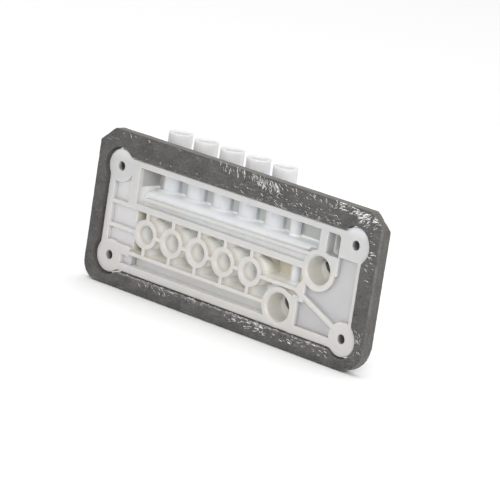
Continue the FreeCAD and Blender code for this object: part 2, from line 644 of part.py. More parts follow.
def make_barrel_feet():
    """The hollow rounds in front of the barrels, where they stand on the gallery."""
    sketch = front_sketch(body, "barrel_foot_profile", "Sizes.barrel_y")
    inner_x = "Sizes.port_row_x + Sizes.barrel_radius - Sizes.barrel_foot / 2"
    barrel_x = "Sizes.port_row_x + Sizes.barrel_radius"
    outer_x = "Sizes.port_row_x + Sizes.barrel_radius + Sizes.barrel_foot"
    low_z = f"{GALLERY_TOP} - Sizes.barrel_foot / 5"
    high_z = f"{GALLERY_TOP} + Sizes.barrel_foot"
    inner, middle, outer = number(inner_x), number(barrel_x), number(outer_x)
    low, level, high = number(low_z), number(GALLERY_TOP), number(high_z)
    corners = ((middle, high), (inner, high), (inner, low), (outer, low), (outer, level))
    points = [Vector(across, up, 0) for across, up in corners]
    lines = [sketch.addGeometry(Part.LineSegment(a, b)) for a, b in zip(points, points[1:])]
    for line, after in zip(lines, lines[1:]):
        sketch.addConstraint(Sketcher.Constraint("Coincident", line, 2, after, 1))
    quarter_turn = FreeCAD.Units.parseQuantity("90 deg").getValueAs("rad").Value
    hollow = sketch.addGeometry(Part.ArcOfCircle(
        Part.Circle(Vector(outer, high, 0), Vector(0, 0, 1), number("Sizes.barrel_foot")),
        quarter_turn * 2, quarter_turn * 3))
    fix_point(sketch, lines[0], 1, None, high_z)
    fix_point(sketch, lines[0], 2, inner_x, high_z)
    fix_point(sketch, lines[1], 2, inner_x, low_z)
    fix_point(sketch, lines[2], 2, outer_x, low_z)
    fix_point(sketch, lines[3], 2, outer_x, GALLERY_TOP)
    fix_point(sketch, hollow, 3, outer_x, high_z)
    sketch.addConstraint(Sketcher.Constraint("Coincident", lines[3], 2, hollow, 2))
    sketch.addConstraint(Sketcher.Constraint("Coincident", hollow, 1, lines[0], 1))
    axis_line = sketch.addGeometry(Part.LineSegment(
        Vector(number("Sizes.port_row_x"), low, 0), Vector(number("Sizes.port_row_x"), high, 0)), True)
    fix_point(sketch, axis_line, 1, "Sizes.port_row_x", low_z)
    fix_point(sketch, axis_line, 2, "Sizes.port_row_x", high_z)
    foot = body.newObject("PartDesign::Revolution", "barrel_foot")
    foot.Profile = sketch
    foot.ReferenceAxis = (sketch, ["Axis0"])
    foot.Angle = 180
    foot.Reversed = True
    foot.Refine = False
    repeat_along_ports(body, "barrel_feet", foot)


def make_bores():
    """The bores of ports and barrels, the inner passages and the ear holes."""
    port = front_sketch(body, "port_bore_outline")
    circle(port, "Sizes.port_row_x", "Sizes.port_row_z", "Sizes.port_bore")
    port_bore = pocket(body, "port_bore", port, "Sizes.barrel_y + Sizes.elbow_overlap")
    repeat_along_ports(body, "port_bores", port_bore)
    barrel = top_sketch(body, "barrel_bore_outline", "Sizes.barrel_top")
    circle(barrel, "Sizes.port_row_x", "Sizes.barrel_y", "Sizes.barrel_bore")
    bore_length = "Sizes.barrel_top - Sizes.port_row_z + Sizes.elbow_overlap"
    barrel_bore = pocket(body, "barrel_bore", barrel, bore_length)
    repeat_along_ports(body, "barrel_bores", barrel_bore)
    mains = front_sketch(body, "main_bore_outlines")
    circle(mains, UPPER_X, "Sizes.upper_port_z", "Sizes.main_bore")
    circle(mains, LOWER_X, "Sizes.lower_port_z", "Sizes.main_bore")
    pocket(body, "main_bores", mains, "Sizes.main_bore_depth")
    seats = front_sketch(body, "seat_outlines", "Sizes.main_bore_depth")
    circle(seats, UPPER_X, "Sizes.upper_port_z + Sizes.seat_rise", "Sizes.seat_bore")
    circle(seats, LOWER_X, "Sizes.lower_port_z + Sizes.seat_rise", "Sizes.seat_bore")
    pocket(body, "seats", seats, "Sizes.seat_depth")
    passage_x = f"({UPPER_X} - Sizes.gallery_end)"
    passage = side_sketch(body, "gallery_bore_outline", passage_x)
    circle(passage, "Sizes.gallery_y", "Sizes.gallery_z", "Sizes.gallery_bore")
    pocket(body, "gallery_passage", passage, f"{passage_x} - {NOSE_X}")
    link = side_sketch(body, "link_outline", UPPER_X)
    circle(link, "Sizes.main_bore_depth + Sizes.link_back", "Sizes.gallery_z", "Sizes.link_bore")
    pocket(body, "link_passage", link, "Sizes.link_length")
    riser = top_sketch(body, "riser_bore_outline", "Sizes.gallery_z")
    circle(riser, LOWER_X, "Sizes.riser_y", "Sizes.riser_bore")
    pocket(body, "riser_passage", riser, "Sizes.gallery_z - Sizes.lower_port_z")
    holes = front_sketch(body, "ear_hole_outlines")
    for across, up in EAR_CENTRES:
        circle(holes, across, up, "Sizes.ear_hole_radius")
    return pocket(body, "ear_holes", holes, "Sizes.ear_boss_depth")


def make_mouths(drilled):
    """The bevels at the mouths of the ports and barrels."""
    radii = (number("Sizes.port_bore"), number("Sizes.main_bore"))

    def port_mouth(edge):
        return any(is_ring(edge, radius) and near(edge.Curve.Center.y, 0) for radius in radii)

    bevelled = dress(body, "Chamfer", "port_mouths", drilled, port_mouth, "Size", "Sizes.port_mouth")
    top = number("Sizes.barrel_top")
    bore = number("Sizes.barrel_bore")

    def barrel_mouth(edge):
        return is_ring(edge, bore) and near(edge.Curve.Center.z, top)

    dress(body, "Chamfer", "barrel_mouths", bevelled, barrel_mouth, "Size", "Sizes.barrel_mouth")


make_front_edge(make_plate())
make_housing()
make_cores()
make_plate_ribs()
make_port_tubes()
make_gallery()
make_housing_ribs()
make_uprights()
make_barrels()
make_barrel_feet()
make_mouths(make_bores())

# The foam gasket, which follows the plate's edge with a small gap.

gasket = doc.addObject("PartDesign::Body", "foam_gasket")
gasket.Label = "foam_gasket"
FOAM_FRONT = "(-Sizes.foam_proud)"
FOAM_LEFT = f"({PLATE_LEFT} - Sizes.foam_left)"
FOAM_RIGHT = f"({PLATE_RIGHT} + Sizes.foam_right)"
FOAM_TOP = f"({PLATE_TOP} + Sizes.foam_top)"
FOAM_BOTTOM = f"({PLATE_BOTTOM} - Sizes.foam_bottom)"


def make_gasket():
    """The foam sheet with two cut corners and two round ones, and the opening for the plate."""
    sheet_sketch = front_sketch(gasket, "foam_outline", FOAM_FRONT)
    outline(sheet_sketch, (
        (FOAM_LEFT, FOAM_BOTTOM),
        (FOAM_RIGHT, FOAM_BOTTOM),
        (FOAM_RIGHT, f"{FOAM_TOP} - Sizes.foam_cut_right_z"),
        (f"{FOAM_RIGHT} - Sizes.foam_cut_right_x", FOAM_TOP),
        (f"{FOAM_LEFT} + Sizes.foam_cut_left_x", FOAM_TOP),
        (FOAM_LEFT, f"{FOAM_TOP} - Sizes.foam_cut_left_z"),
    ))
    foam = pad(gasket, "foam_sheet", sheet_sketch, "Sizes.foam_depth", backwards=True)
    left, right, bottom = number(FOAM_LEFT), number(FOAM_RIGHT), number(FOAM_BOTTOM)

    def lower_corner(side):
        def wanted(edge):
            place = place_of(edge)
            return runs_along_y(edge) and near(place.x, side) and near(place.z, bottom)
        return wanted

    foam = dress(gasket, "Fillet", "left_corner", foam, lower_corner(left), "Radius", "Sizes.foam_corner_left")
    dress(gasket, "Fillet", "right_corner", foam, lower_corner(right), "Radius", "Sizes.foam_corner_right")
    opening = front_sketch(gasket, "opening_outline", FOAM_FRONT)
    outline(opening, plate_corners("Sizes.foam_gap"))
    pocket(gasket, "opening", opening, "Sizes.foam_depth")
    ears = front_sketch(gasket, "ear_notch_outlines", FOAM_FRONT)
    for across, up in EAR_CENTRES:
        circle(ears, across, up, "Sizes.ear_radius + Sizes.foam_gap")
    notched = pocket(gasket, "ear_notches", ears, "Sizes.foam_depth")
    wanted = hollow_corner("Sizes.foam_gap")
    dress(gasket, "Fillet", "notch_blends", notched, wanted, "Radius", "Sizes.ear_blend - Sizes.foam_gap")


make_gasket()
doc.recompute()

for item in doc.Objects:
    if "Invalid" in item.State or "Error" in item.State:
        raise RuntimeError(f"{item.Name}: {item.State}")
os.makedirs("parts", exist_ok=True)
for part in (body, gasket):
    if part.Shape.isNull() or not part.Shape.isValid():
        raise RuntimeError(f"{part.Label}: the shape isn't valid")
    box = part.Shape.BoundBox
    print(part.Label, len(part.Shape.Solids), "solid", round(part.Shape.Volume / 1000, 2), "cm3",
          round(box.XLength, 1), round(box.YLength, 1), round(box.ZLength, 1))
for part in (body, gasket):
    part.Shape.exportStep(f"parts/{part.Label}.step")
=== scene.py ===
import json
import logging
import math
from dataclasses import dataclass, field
from enum import Enum

import bmesh
import bpy
from mathutils import Matrix, Vector, noise

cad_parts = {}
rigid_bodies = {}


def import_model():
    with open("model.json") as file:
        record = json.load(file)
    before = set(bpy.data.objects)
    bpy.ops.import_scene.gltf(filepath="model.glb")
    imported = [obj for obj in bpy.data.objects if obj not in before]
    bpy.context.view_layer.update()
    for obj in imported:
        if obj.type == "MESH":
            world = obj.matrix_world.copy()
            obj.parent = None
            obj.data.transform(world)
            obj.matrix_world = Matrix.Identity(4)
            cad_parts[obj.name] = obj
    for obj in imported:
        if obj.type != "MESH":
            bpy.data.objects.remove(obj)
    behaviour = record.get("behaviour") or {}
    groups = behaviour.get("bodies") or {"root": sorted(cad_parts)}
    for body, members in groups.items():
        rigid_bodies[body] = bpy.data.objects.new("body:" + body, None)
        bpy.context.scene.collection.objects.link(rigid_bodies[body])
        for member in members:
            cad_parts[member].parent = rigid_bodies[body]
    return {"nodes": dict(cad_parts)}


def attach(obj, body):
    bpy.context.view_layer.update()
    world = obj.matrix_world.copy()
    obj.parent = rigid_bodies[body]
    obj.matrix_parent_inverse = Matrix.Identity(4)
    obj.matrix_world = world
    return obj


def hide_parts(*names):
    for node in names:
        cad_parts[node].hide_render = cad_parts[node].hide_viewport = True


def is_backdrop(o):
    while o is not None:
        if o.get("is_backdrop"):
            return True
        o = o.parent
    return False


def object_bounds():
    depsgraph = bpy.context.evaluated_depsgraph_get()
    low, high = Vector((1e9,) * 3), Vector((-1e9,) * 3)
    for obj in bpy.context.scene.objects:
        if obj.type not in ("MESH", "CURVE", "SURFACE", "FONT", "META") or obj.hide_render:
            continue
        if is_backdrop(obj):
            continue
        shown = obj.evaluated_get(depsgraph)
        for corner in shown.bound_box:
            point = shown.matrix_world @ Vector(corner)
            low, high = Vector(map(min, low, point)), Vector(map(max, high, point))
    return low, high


log = logging.getLogger("manifold")

BODY_NODE = "manifold_body"
GASKET_NODE = "foam_gasket"
ROOT = "root"
MM = 0.001
SQUARE_CM_IN_A_SQUARE_M = 10000.0

# Further out than any point of the part, in millimetres.
FAR = 200.0

Colour = tuple[float, float, float]
Place = tuple[float, float, float]
Socket = bpy.types.NodeSocket


class Blend(Enum):
    """How one colour goes over another in a finish."""

    MIX = "MIX"
    DARKEN = "MULTIPLY"


class Axis(Enum):
    """The object's own axes: X along the plate, Y from the front into the part, Z up the barrels."""

    X = "X"
    Y = "Y"
    Z = "Z"


@dataclass(frozen=True)
class Span:
    """A stretch along one axis, in millimetres, with a soft change outside each end.

    Where soft_high is left out, both ends are as soft as soft says.
    """

    axis: Axis
    low: float
    high: float
    soft: float
    soft_high: float | None = None


@dataclass(frozen=True)
class Bore:
    """A round hole along Y: where its axis lies and how far its paint reaches, in millimetres.

    A mirrored one stands for four, one in each quarter of the front.
    """

    x: float
    z: float
    radius: float
    mirrored: bool = False


@dataclass(frozen=True)
class Cloud:
    """A soft random pattern, and the values between which it fades in.

    The scale is in patches to a metre, detail counts the finer layers and rough is their weight.
    """

    scale: float
    detail: float
    rough: float
    low: float = 0.0
    high: float = 1.0


@dataclass(frozen=True)
class Shade:
    """A colour that is laid on where its spans, its bore and its cloud meet."""

    colour: Colour
    spans: tuple[Span, ...]
    strength: float = 1.0
    bore: Bore | None = None
    cloud: Cloud | None = None


class NodeGraph:
    """A node tree under construction, with short calls to add nodes and to join them."""

    def __init__(self, tree: bpy.types.NodeTree) -> None:
        """Takes the tree to build.

        Args:
            tree: The tree.
        """
        self.tree = tree

    def add(self, kind: str, **settings: object) -> bpy.types.Node:
        """Adds a node.

        Args:
            kind: The node's Blender type.
            **settings: Properties to set on it.

        Returns:
            The new node.
        """
        node = self.tree.nodes.new(kind)
        for name, value in settings.items():
            setattr(node, name, value)
        return node

    def join(self, start: Socket, end: Socket) -> None:
        """Links two sockets."""
        self.tree.links.new(start, end)


class Pattern(NodeGraph):
    """A material's node tree, with short calls for the nodes that the finishes share."""

    round_edge: float = 0.1 * MM

    def __init__(self, name: str) -> None:
        """Starts an empty material whose patterns read Object coordinates.

        Args:
            name: The material's name.
        """
        self.material = bpy.data.materials.new(name)
        self.material.use_nodes = True
        super().__init__(self.material.node_tree)
        self.tree.nodes.clear()
        self.place = self.add("ShaderNodeTexCoord").outputs["Object"]

    def stretched(self, scale: Place, turn: Place = (0.0, 0.0, 0.0)) -> Socket:
        """Scales and turns the coordinates, so that a pattern can run along one direction.

        Args:
            scale: The scale along X, Y and Z.
            turn: The turn about X, Y and Z, in radians.

        Returns:
            The scaled coordinates.
        """
        mapping = self.add("ShaderNodeMapping")
        mapping.inputs["Scale"].default_value = scale
        mapping.inputs["Rotation"].default_value = turn
        self.join(self.place, mapping.inputs["Vector"])
        return mapping.outputs["Vector"]

    def noise(self, cloud: Cloud, place: Socket | None = None) -> Socket:
        """A soft random value from 0 to 1.

        Args:
            cloud: The pattern.
            place: The coordinates to read, where they aren't the object's own.

        Returns:
            The value.
        """
        texture = self.add("ShaderNodeTexNoise")
        texture.inputs["Scale"].default_value = cloud.scale
        texture.inputs["Detail"].default_value = cloud.detail
        texture.inputs["Roughness"].default_value = cloud.rough
        self.join(place or self.place, texture.inputs["Vector"])
        return texture.outputs["Fac"]

    def patches(self, cloud: Cloud, place: Socket | None = None) -> Socket:
        """The soft random value, faded in between the cloud's two limits."""
        return self.band(self.noise(cloud, place), cloud.low, cloud.high)

    def cells(self, scale: float) -> Socket:
        """The distance to the nearest of many scattered points.

        Args:
            scale: The number of cells in a metre.

        Returns:
            The distance, in cells.
        """
        texture = self.add("ShaderNodeTexVoronoi")
        texture.inputs["Scale"].default_value = scale
        self.join(self.place, texture.inputs["Vector"])
        return texture.outputs["Distance"]

    def band(self, value: Socket, low: float, high: float) -> Socket:
        """Turns a value into 0 at one limit and 1 at another.

        Args:
            value: The value to read.
            low: Where the result is 0.
            high: Where the result is 1.

        Returns:
            The result, clamped.
        """
        span = self.add("ShaderNodeMapRange", clamp=True)
        span.inputs["From Min"].default_value = low
        span.inputs["From Max"].default_value = high
        self.join(value, span.inputs["Value"])
        return span.outputs["Result"]

    def product(self, first: Socket, *others: Socket | float) -> Socket:
        """Multiplies a value by other ones or by numbers.

        Args:
            first: The value.
            *others: The other values or the numbers.

        Returns:
            The product.
        """
        result = first
        for other in others:
            times = self.add("ShaderNodeMath", operation="MULTIPLY")
            self.join(result, times.inputs[0])
            if isinstance(other, float):
                times.inputs[1].default_value = other
            else:
                self.join(other, times.inputs[1])
            result = times.outputs["Value"]
        return result

    def sum(self, first: Socket, second: Socket) -> Socket:
        """Adds two values."""
        plus = self.add("ShaderNodeMath", operation="ADD")
        self.join(first, plus.inputs[0])
        self.join(second, plus.inputs[1])
        return plus.outputs["Value"]

    def colour(
        self,
        share: Socket,
        under: Socket | Colour,
        over: Socket | Colour,
        blend: Blend = Blend.MIX,
    ) -> Socket:
        """Lays one colour over another.

        Args:
            share: How much of the upper colour shows.
            under: The lower colour, or the socket that gives it.
            over: The upper colour, or the socket that gives it.
            blend: How the two go together.

        Returns:
            The mixed colour.
        """
        mix = self.add("ShaderNodeMix", data_type="RGBA", blend_type=blend.value)
        self.join(share, mix.inputs["Factor"])
        for layer, end in ((under, mix.inputs[6]), (over, mix.inputs[7])):
            if isinstance(layer, tuple):
                end.default_value = (*layer, 1.0)
            else:
                self.join(layer, end)
        return mix.outputs[2]

    def axis(self, axis: Axis) -> Socket:
        """One of the object's own coordinates, in metres."""
        split = self.add("ShaderNodeSeparateXYZ")
        self.join(self.place, split.inputs["Vector"])
        return split.outputs[axis.value]

    def about(self, bore: Bore) -> Socket:
        """Marks what lies near a bore's axis.

        Args:
            bore: The bore.

        Returns:
            1 near the axis and 0 away from it.
        """
        place = self.place
        if bore.mirrored:
            folded = self.add("ShaderNodeVectorMath", operation="ABSOLUTE")
            self.join(place, folded.inputs[0])
            place = folded.outputs["Vector"]
        shifted = self.add("ShaderNodeVectorMath", operation="SUBTRACT")
        shifted.inputs[1].default_value = (bore.x * MM, 0.0, bore.z * MM)
        self.join(place, shifted.inputs[0])
        level = self.add("ShaderNodeVectorMath", operation="MULTIPLY")
        level.inputs[1].default_value = (1.0, 0.0, 1.0)
        self.join(shifted.outputs["Vector"], level.inputs[0])
        length = self.add("ShaderNodeVectorMath", operation="LENGTH")
        self.join(level.outputs["Vector"], length.inputs[0])
        radius = bore.radius * MM
        return self.band(length.outputs["Value"], radius + self.round_edge, radius)

    def between(self, span: Span) -> Socket:
        """Marks what lies in a span.

        Args:
            span: The span.

        Returns:
            1 between its ends and 0 outside them.
        """
        value = self.axis(span.axis)
        soft_high = span.soft if span.soft_high is None else span.soft_high
        rise = self.band(value, (span.low - span.soft) * MM, span.low * MM)
        fall = self.band(value, (span.high + soft_high) * MM, span.high * MM)
        return self.product(rise, fall)

    def mark(self, shade: Shade) -> Socket:
        """Marks where a shade is laid on, and how strongly.

        Args:
            shade: The shade.

        Returns:
            The colour's share.
        """
        parts = [self.between(span) for span in shade.spans]
        if shade.bore is not None:
            parts.append(self.about(shade.bore))
        if shade.cloud is not None:
            parts.append(self.patches(shade.cloud))
        return self.product(*parts, shade.strength)

    def lay(self, under: Socket, shades: list[Shade]) -> Socket:
        """Lays shades over a colour, one after another.

        Args:
            under: The colour below them.
            shades: The shades.

        Returns:
            The colour with all of them.
        """
        for shade in shades:
            under = self.colour(self.mark(shade), under, shade.colour)
        return under

    def finish(self, shader: bpy.types.Node) -> bpy.types.Material:
        """Joins the shader to the material's output and returns the material."""
        output = self.add("ShaderNodeOutputMaterial")
        self.join(shader.outputs[0], output.inputs["Surface"])
        return self.material


@dataclass(frozen=True)
class MouldedPlastic:
    """Natural white plastic with ivory rings, and painted light and shade: lighter creamy deep cells,
    bluish shaded recesses, shaded hollows and dark painted shade at the bores' ends.
    """

    name: str = "natural_white_plastic"
    front: Colour = (0.535, 0.535, 0.535)
    front_warm: Colour = (0.57, 0.555, 0.54)
    # Painted light and shade on the floors of the shallow recesses, left and right.
    left_recess_shading: Colour = (0.60, 0.60, 0.62)
    right_recess_shading: Colour = (0.48, 0.48, 0.495)
    # Painted light: the deep parts are painted lighter than the front, as if lit through the thin
    # walls.
    deep_lightened: Colour = (0.965, 0.955, 0.91)
    deep_cool_lightened: Colour = (0.90, 0.905, 0.90)
    rear: Colour = (0.68, 0.68, 0.69)
    barrel: Colour = (0.70, 0.705, 0.715)
    barrel_top: Colour = (0.73, 0.73, 0.745)
    # Painted light and shade in the channel: its floor gets a grey between the front and the lightened
    # deep parts.
    channel: Colour = (0.72, 0.715, 0.705)
    # Painted shade in the big pocket between the ports.
    pocket_shade: Colour = (0.62, 0.60, 0.54)
    # Painted shade on the walls of the two main bores.
    bore_wall_shade: Colour = (0.66, 0.645, 0.60)
    window_shade: Colour = (0.50, 0.525, 0.54)
    # Painted shade in the first pocket, left of the first port.
    first_pocket_shade: Colour = (0.60, 0.60, 0.55)
    corner_shade: Colour = (0.47, 0.47, 0.48)
    # Painted shade at the main ports' seats.
    seat_shade: Colour = (0.27, 0.26, 0.245)
    # Painted shade deep in the ear holes.
    hole: Colour = (0.10, 0.10, 0.095)
    mottle: Colour = (0.92, 0.92, 0.90)
    mottle_cloud: Cloud = Cloud(60.0, 4.0, 0.6, 0.42, 0.72)
    mottle_strength: float = 0.35
    gloss_cloud: Cloud = Cloud(240.0, 3.0, 0.5)
    roughness_low: float = 0.28
    roughness_high: float = 0.42
    ripple_cloud: Cloud = Cloud(900.0, 3.0, 0.6)
    ripple_strength: float = 0.12
    ripple_height: float = 0.1 * MM
    refraction: float = 1.49
    glow: float = 0.8
    glow_reach: float = 5.0 * MM
    glow_tint: Colour = (1.0, 0.9, 0.7)
    edge_radius: float = 0.60 * MM
    edge_samples: int = 6
    deep_start: float = 0.8 * MM
    deep_end: float = 5.0 * MM
    cool_start: float = 3.0 * MM
    cool_end: float = 9.0 * MM
    ear_hole: Bore = Bore(84.15, 24.75, 2.65, mirrored=True)
    upper_port: Bore = Bore(62.1, 5.6, 7.8)
    lower_port: Bore = Bore(38.9, -20.35, 7.8)

    def recess_shades(self) -> list[Shade]:
        """The outer back, and painted light and shade on the floors of the plate's shallow recesses."""
        floors = Span(Axis.Y, 1.6, 6.0, 0.6)
        return [
            Shade(self.rear, (Span(Axis.Y, 17.2, FAR, 0.8),)),
            Shade(self.left_recess_shading, (floors, Span(Axis.X, -FAR, -70.4, 0.8))),
            Shade(self.right_recess_shading, (floors, Span(Axis.X, 51.0, FAR, 1.0))),
        ]

    def hollow_shades(self) -> list[Shade]:
        """Painted shade in the hollows: the big and the first pocket, the channel and the window."""
        window = (Span(Axis.Z, 17.0, 27.4, 0.6), Span(Axis.X, -71.0, 75.2, 0.4))
        channel_height = Span(Axis.Z, -27.0, -21.2, 0.2)
        return [
            Shade(self.pocket_shade, (
                Span(Axis.X, 16.0, 31.0, 2.0),
                Span(Axis.Z, -6.5, 4.5, 0.5),
                Span(Axis.Y, 11.0, 16.4, 6.0, 0.4),
            )),
            Shade(self.first_pocket_shade, (
                Span(Axis.X, -70.5, -67.0, 1.5),
                Span(Axis.Z, -19.0, 4.5, 0.2),
                Span(Axis.Y, 7.0, 16.4, 5.0, 0.4),
            )),
            Shade(self.channel, (
                Span(Axis.X, -69.0, 30.0, 0.5),
                channel_height,
                Span(Axis.Y, 1.5, 8.0, 1.0),
            )),
            Shade(self.barrel, (*window, Span(Axis.Y, 8.0, 16.2, 0.8))),
            Shade(self.window_shade, (*window, Span(Axis.Y, 14.6, 16.2, 0.8))),
            Shade(self.corner_shade, (
                *window,
                Span(Axis.X, -70.4, -61.0, 1.0),
                Span(Axis.Y, 3.0, 16.2, 0.8),
            )),
            Shade(self.corner_shade, (
                Span(Axis.X, -70.2, -69.5, 0.2),
                channel_height,
                Span(Axis.Y, 3.0, 8.0, 0.8),
            )),
        ]

    def bore_shades(self) -> list[Shade]:
        """Painted shade in the ear holes, and on the walls and seats of the two main ports."""
        shades = [Shade(self.hole, (Span(Axis.Y, 3.4, 11.0, 3.0, 1.3),), bore=self.ear_hole)]
        for port in (self.upper_port, self.lower_port):
            shades.append(Shade(self.bore_wall_shade, (Span(Axis.Y, 2.0, 18.2, 0.8),), bore=port))
            shades.append(Shade(self.seat_shade, (Span(Axis.Y, 12.0, 18.4, 0.4),), bore=port))
        return shades

    def paint(self, pattern: Pattern) -> Socket:
        """Builds the plastic's colour from where a point lies, with painted light in the deep parts and
        painted shade in the hollows, recesses and bores.

        Args:
            pattern: The material's tree.

        Returns:
            The colour.
        """
        # Painted light: behind the front, the plastic is painted in the lighter deep tones.
        depth = pattern.band(pattern.axis(Axis.Y), self.deep_start, self.deep_end)
        lift = pattern.band(pattern.axis(Axis.Z), self.cool_start, self.cool_end)
        outer = pattern.colour(lift, self.front_warm, self.front)
        inner = pattern.colour(lift, self.deep_lightened, self.deep_cool_lightened)
        tops = Shade(self.barrel_top, (Span(Axis.Z, 34.0, FAR, 6.0),))
        shades = [*self.recess_shades(), *self.hollow_shades(), *self.bore_shades(), tops]
        return pattern.lay(pattern.colour(depth, outer, inner), shades)

    def material(self) -> bpy.types.Material:
        """Builds the plastic's material."""
        pattern = Pattern(self.name)
        mottle = pattern.product(pattern.patches(self.mottle_cloud), self.mottle_strength)
        colour = pattern.colour(mottle, self.paint(pattern), self.mottle, Blend.DARKEN)
        shader = pattern.add("ShaderNodeBsdfPrincipled")
        pattern.join(colour, shader.inputs["Base Color"])
        gloss = pattern.add("ShaderNodeMapRange")
        gloss.inputs["To Min"].default_value = self.roughness_low
        gloss.inputs["To Max"].default_value = self.roughness_high
        pattern.join(pattern.noise(self.gloss_cloud), gloss.inputs["Value"])
        pattern.join(gloss.outputs["Result"], shader.inputs["Roughness"])
        shader.inputs["IOR"].default_value = self.refraction
        shader.inputs["Subsurface Weight"].default_value = self.glow
        shader.inputs["Subsurface Radius"].default_value = self.glow_tint
        shader.inputs["Subsurface Scale"].default_value = self.glow_reach
        soft_edge = pattern.add("ShaderNodeBevel", samples=self.edge_samples)
        soft_edge.inputs["Radius"].default_value = self.edge_radius
        ripple = pattern.add("ShaderNodeBump")
        ripple.inputs["Strength"].default_value = self.ripple_strength
        ripple.inputs["Distance"].default_value = self.ripple_height
        pattern.join(pattern.noise(self.ripple_cloud), ripple.inputs["Height"])
        pattern.join(soft_edge.outputs["Normal"], ripple.inputs["Normal"])
        pattern.join(ripple.outputs["Normal"], shader.inputs["Normal"])
        return pattern.finish(shader)


@dataclass(frozen=True)
class CellFoam:
    """Charcoal closed-cell foam: fine cells, pale scuffs, and browner sides with a pale layer line,
    painted light on the top side and the inner edge below the plate, and painted shade on the right
    side.
    """

    name: str = "charcoal_foam"
    skin: Colour = (0.056, 0.055, 0.054)
    dark: Colour = (0.016, 0.016, 0.017)
    scuff: Colour = (0.22, 0.212, 0.203)
    cut_side: Colour = (0.125, 0.110, 0.092)
    # Painted light on the top cut side and painted shade on the right one.
    top_side_lit: Colour = (0.17, 0.152, 0.128)
    right_side_shaded: Colour = (0.078, 0.073, 0.070)
    layer: Colour = (0.24, 0.23, 0.225)
    # Painted light on the inner edge below the plate, which lies in shade.
    inner_edge_light: Colour = (0.30, 0.29, 0.27)
    skin_cloud: Cloud = Cloud(90.0, 5.0, 0.65, 0.36, 0.64)
    streak_cloud: Cloud = Cloud(6.0, 4.0, 0.6, 0.58, 0.72)
    streak_scale: Place = (26.0, 60.0, 190.0)
    streak_turn: Place = (0.0, 0.35, 0.0)
    streak_strength: float = 0.6
    streak_height: float = 0.8
    edge_cloud: Cloud = Cloud(110.0, 3.0, 0.6, 0.36, 0.62)
    haze_cloud: Cloud = Cloud(260.0, 4.0, 0.7, 0.40, 0.68)
    inner_edge_light_cloud: Cloud = Cloud(420.0, 3.0, 0.6, 0.35, 0.6)
    layer_cloud: Cloud = Cloud(1500.0, 1.0, 0.4, 0.5, 0.62)
    layer_scale: Place = (0.06, 1.0, 0.06)
    layer_strength: float = 0.45
    cell_pitch: float = 0.9 * MM
    cell_low: float = 0.05
    cell_high: float = 0.55
    cell_strength: float = 0.25
    bump_strength: float = 0.6
    bump_height: float = 0.3 * MM
    roughness: float = 0.62
    specular: float = 0.45
    side: Span = Span(Axis.Y, -0.8, 4.2, 0.6)

    def side_shades(self) -> list[Shade]:
        """The foam's cut sides, with painted light on the top one and painted shade on the right one.
        """
        return [
            Shade(self.cut_side, (self.side,), 0.85),
            Shade(self.top_side_lit, (self.side, Span(Axis.Z, 44.1, FAR, 0.5)), 0.85),
            Shade(self.right_side_shaded, (self.side, Span(Axis.X, 101.0, FAR, 0.6)), 0.85),
        ]

    def wear_and_painted_light(self) -> list[Shade]:
        """The pale line along the right edge, the haze below the plate, and painted light on the inner
        edge below the plate, where shade would fall.
        """
        edge = (Span(Axis.Y, -1.7, -1.3, 0.3), Span(Axis.X, 100.6, FAR, 0.6))
        below = (Span(Axis.Z, -36.5, -31.5, 1.5), Span(Axis.X, -80.0, 78.0, 8.0))
        # Painted light along the inner edge below the plate.
        inner = (Span(Axis.Z, -32.3, -31.3, 0.2), Span(Axis.X, -76.0, 76.0, 2.0))
        return [
            Shade(self.layer, edge, 0.5, cloud=self.edge_cloud),
            Shade(self.scuff, below, 0.26, cloud=self.haze_cloud),
            Shade(self.inner_edge_light, inner, cloud=self.inner_edge_light_cloud),
        ]

    def paint(self, pattern: Pattern, streaks: Socket, cells: Socket) -> Socket:
        """Builds the foam's colour.

        Args:
            pattern: The material's tree.
            streaks: The long scuffs.
            cells: The foam's cells.

        Returns:
            The colour.
        """
        colour = pattern.colour(pattern.patches(self.skin_cloud), self.dark, self.skin)
        colour = pattern.lay(colour, self.side_shades())
        marks = pattern.band(streaks, self.streak_cloud.low, self.streak_cloud.high)
        colour = pattern.colour(pattern.product(marks, self.streak_strength), colour, self.scuff)
        colour = pattern.lay(colour, self.wear_and_painted_light())
        layers = pattern.patches(self.layer_cloud, pattern.stretched(self.layer_scale))
        lines = pattern.product(layers, pattern.between(self.side), self.layer_strength)
        colour = pattern.colour(lines, colour, self.dark)
        return pattern.colour(pattern.product(cells, self.cell_strength), colour, self.scuff)

    def material(self) -> bpy.types.Material:
        """Builds the foam's material."""
        pattern = Pattern(self.name)
        along = pattern.stretched(self.streak_scale, self.streak_turn)
        streaks = pattern.noise(self.streak_cloud, along)
        cells = pattern.band(pattern.cells(1.0 / self.cell_pitch), self.cell_low, self.cell_high)
        shader = pattern.add("ShaderNodeBsdfPrincipled")
        pattern.join(self.paint(pattern, streaks, cells), shader.inputs["Base Color"])
        shader.inputs["Roughness"].default_value = self.roughness
        shader.inputs["Specular IOR Level"].default_value = self.specular
        bump = pattern.add("ShaderNodeBump")
        bump.inputs["Strength"].default_value = self.bump_strength
        bump.inputs["Distance"].default_value = self.bump_height
        height = pattern.sum(cells, pattern.product(streaks, self.streak_height))
        pattern.join(height, bump.inputs["Height"])
        pattern.join(bump.outputs["Normal"], shader.inputs["Normal"])
        return pattern.finish(shader)


